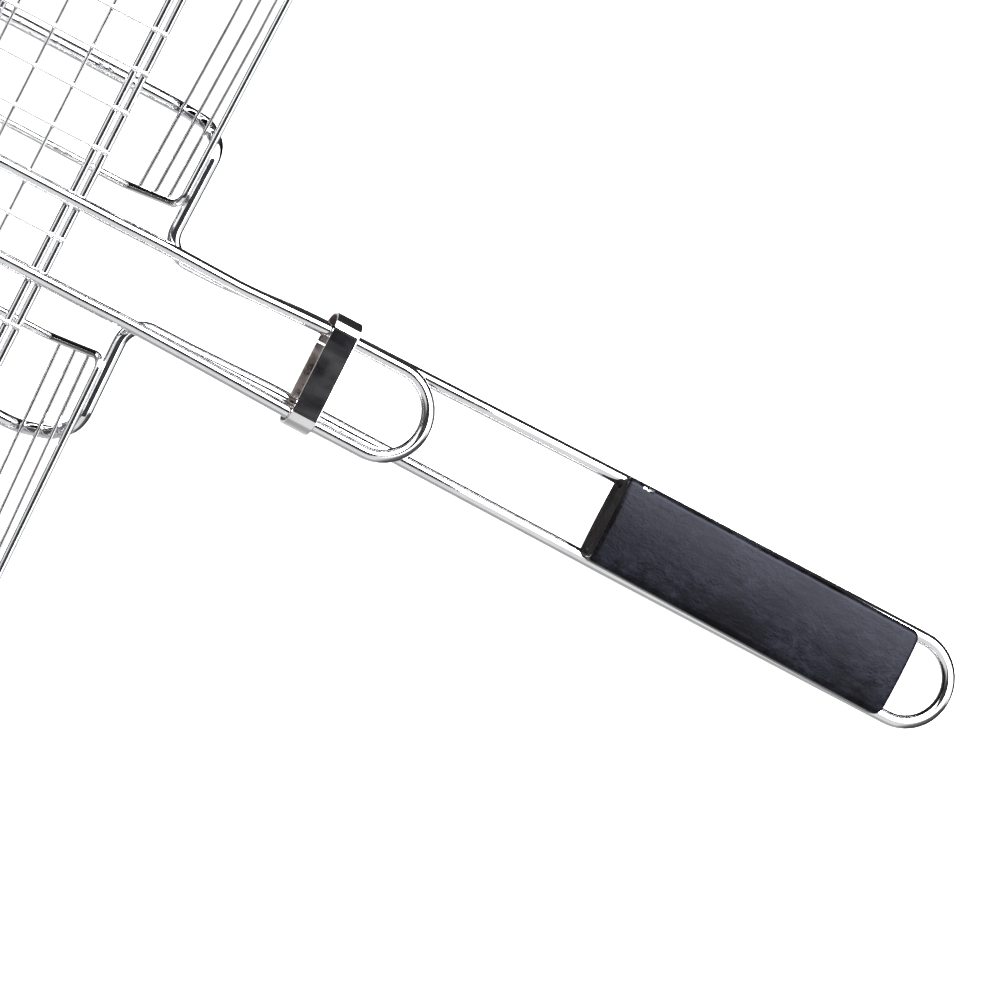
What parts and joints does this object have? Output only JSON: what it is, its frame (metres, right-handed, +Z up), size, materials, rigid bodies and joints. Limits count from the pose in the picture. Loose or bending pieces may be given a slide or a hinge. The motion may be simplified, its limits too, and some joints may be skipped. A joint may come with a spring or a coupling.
{
  "type": "grill basket",
  "caption": "Hinged wire grill basket: a shallow tray on a long looped handle with a wooden grip, a flat mesh lid on its back rim, and a sliding ring that locks both handles.",
  "frame": {"origin": "middle of the whole object's bounding box, at its base, where the tray's outer ribs rest on the table", "axes": "+X along the long handle from the tray to the grip, +Y to the left of someone looking along the handle from the tray, +Z up"},
  "size_m": [0.5733, 0.3236, 0.0423],
  "materials": {
    "polished_wire": "bright chromed steel wire",
    "polished_sheet": "bright chromed steel sheet",
    "dark_wood": "dark stained wood, satin"
  },
  "bodies": {
    "tray": {"cross_rib_1": "polished_wire", "cross_rib_2": "polished_wire", "cross_rib_3": "polished_wire", "handle_wire": "polished_wire", "rim_wire": "polished_wire", "side_rib_left": "polished_wire", "side_rib_right": "polished_wire", "wall_wire_left_1": "polished_wire", "wall_wire_left_2": "polished_wire", "wall_wire_left_3": "polished_wire", "wall_wire_right_1": "polished_wire", "wall_wire_right_2": "polished_wire", "wall_wire_right_3": "polished_wire", "wooden_grip": "dark_wood"},
    "lid": {"lid_cross_wire_1": "polished_wire", "lid_cross_wire_2": "polished_wire", "lid_cross_wire_3": "polished_wire", "lid_cross_wire_4": "polished_wire", "lid_cross_wire_5": "polished_wire", "lid_cross_wire_6": "polished_wire", "lid_cross_wire_7": "polished_wire", "lid_cross_wire_8": "polished_wire", "lid_cross_wire_9": "polished_wire", "lid_end_wire_back": "polished_wire", "lid_end_wire_front": "polished_wire", "lid_frame_wire": "polished_wire", "lid_handle_wire": "polished_wire", "lid_long_wire_left_1": "polished_wire", "lid_long_wire_left_2": "polished_wire", "lid_long_wire_left_3": "polished_wire", "lid_long_wire_left_4": "polished_wire", "lid_long_wire_left_5": "polished_wire", "lid_long_wire_left_6": "polished_wire", "lid_long_wire_middle": "polished_wire", "lid_long_wire_right_1": "polished_wire", "lid_long_wire_right_2": "polished_wire", "lid_long_wire_right_3": "polished_wire", "lid_long_wire_right_4": "polished_wire", "lid_long_wire_right_5": "polished_wire", "lid_long_wire_right_6": "polished_wire"},
    "ring": {"sliding_ring": "polished_sheet"}
  },
  "joints": [
    {"name": "lid_hinge", "type": "hinge", "parent": "tray", "child": "lid", "pos_m": [-0.2797, 0, 0.033], "axis": [0, -1, 0], "range_deg": [0, 180]},
    {"name": "ring_slide", "type": "slide", "parent": "tray", "child": "ring", "axis": [1, 0, 0], "range_m": [-0.025, 0.11]}
  ]
}
